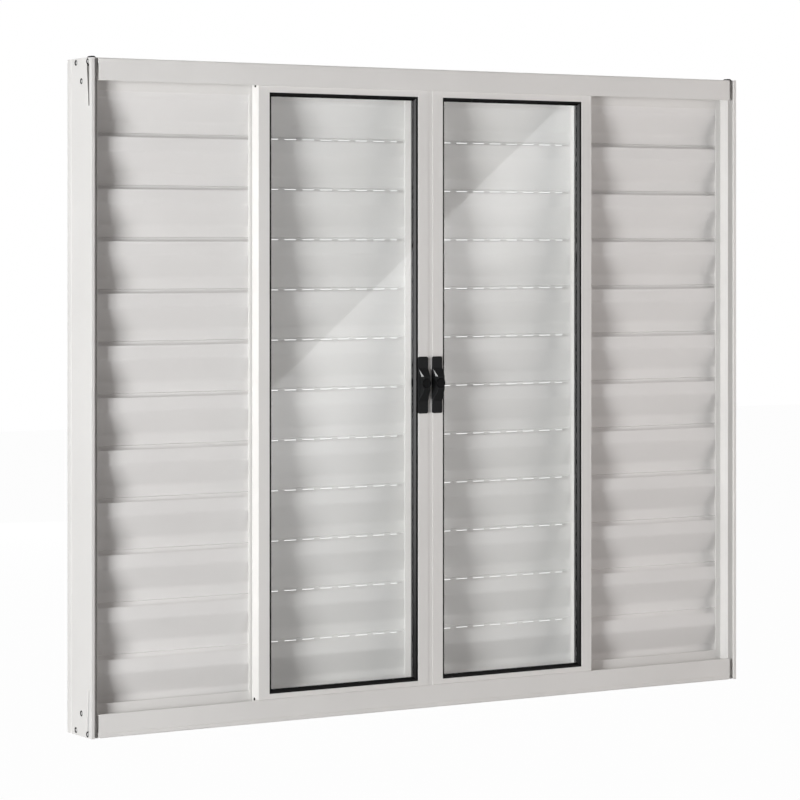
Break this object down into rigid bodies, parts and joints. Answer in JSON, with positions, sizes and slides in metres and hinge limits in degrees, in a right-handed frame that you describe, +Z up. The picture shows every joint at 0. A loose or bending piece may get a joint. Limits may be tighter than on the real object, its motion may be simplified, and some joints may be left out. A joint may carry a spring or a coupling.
{
  "type": "shuttered window",
  "caption": "White aluminium window with sliding glass sashes in front of fixed and sliding louvred shutters, in a three-track frame.",
  "frame": {"origin": "middle of the sill's flat underside, at mid-length and mid-depth of the frame", "axes": "+X to the right seen from the room side, +Y from the room side to the outside, +Z up"},
  "size_m": [1.2, 0.0875, 1.0026],
  "materials": {
    "white_painted_aluminium": "satin",
    "clear_glass": "polished",
    "black_rubber": "matte",
    "black_plastic": "satin",
    "nylon": "matte",
    "zinc_plated_steel": "satin"
  },
  "bodies": {
    "root": {"frame_head": "white_painted_aluminium", "frame_left_jamb": "white_painted_aluminium", "frame_right_jamb": "white_painted_aluminium", "frame_sill": "white_painted_aluminium", "jamb_seal_plugs": "black_rubber", "leaf_rollers": "nylon", "left_fixed_shutter_bottom_rail": "white_painted_aluminium", "left_fixed_shutter_inner_stile": "white_painted_aluminium", "left_fixed_shutter_outer_stile": "white_painted_aluminium", "left_fixed_shutter_slats": "white_painted_aluminium", "left_fixed_shutter_top_rail": "white_painted_aluminium", "left_jamb_anchors": "zinc_plated_steel", "left_latch_housing": "black_plastic", "left_latch_knob": "black_plastic", "left_sash_bottom_rail": "white_painted_aluminium", "left_sash_gasket": "black_rubber", "left_sash_glass": "clear_glass", "left_sash_meeting_stile": "white_painted_aluminium", "left_sash_outer_stile": "white_painted_aluminium", "left_sash_top_rail": "white_painted_aluminium", "left_sliding_shutter_bottom_rail": "white_painted_aluminium", "left_sliding_shutter_meeting_stile": "white_painted_aluminium", "left_sliding_shutter_outer_stile": "white_painted_aluminium", "left_sliding_shutter_slats": "white_painted_aluminium", "left_sliding_shutter_top_rail": "white_painted_aluminium", "right_fixed_shutter_bottom_rail": "white_painted_aluminium", "right_fixed_shutter_inner_stile": "white_painted_aluminium", "right_fixed_shutter_outer_stile": "white_painted_aluminium", "right_fixed_shutter_slats": "white_painted_aluminium", "right_fixed_shutter_top_rail": "white_painted_aluminium", "right_jamb_anchors": "zinc_plated_steel", "right_latch_housing": "black_plastic", "right_latch_knob": "black_plastic", "right_sash_bottom_rail": "white_painted_aluminium", "right_sash_gasket": "black_rubber", "right_sash_glass": "clear_glass", "right_sash_meeting_stile": "white_painted_aluminium", "right_sash_outer_stile": "white_painted_aluminium", "right_sash_top_rail": "white_painted_aluminium", "right_sliding_shutter_bottom_rail": "white_painted_aluminium", "right_sliding_shutter_meeting_stile": "white_painted_aluminium", "right_sliding_shutter_outer_stile": "white_painted_aluminium", "right_sliding_shutter_slats": "white_painted_aluminium", "right_sliding_shutter_top_rail": "white_painted_aluminium", "sash_meeting_strip": "white_painted_aluminium"}
  },
  "joints": []
}
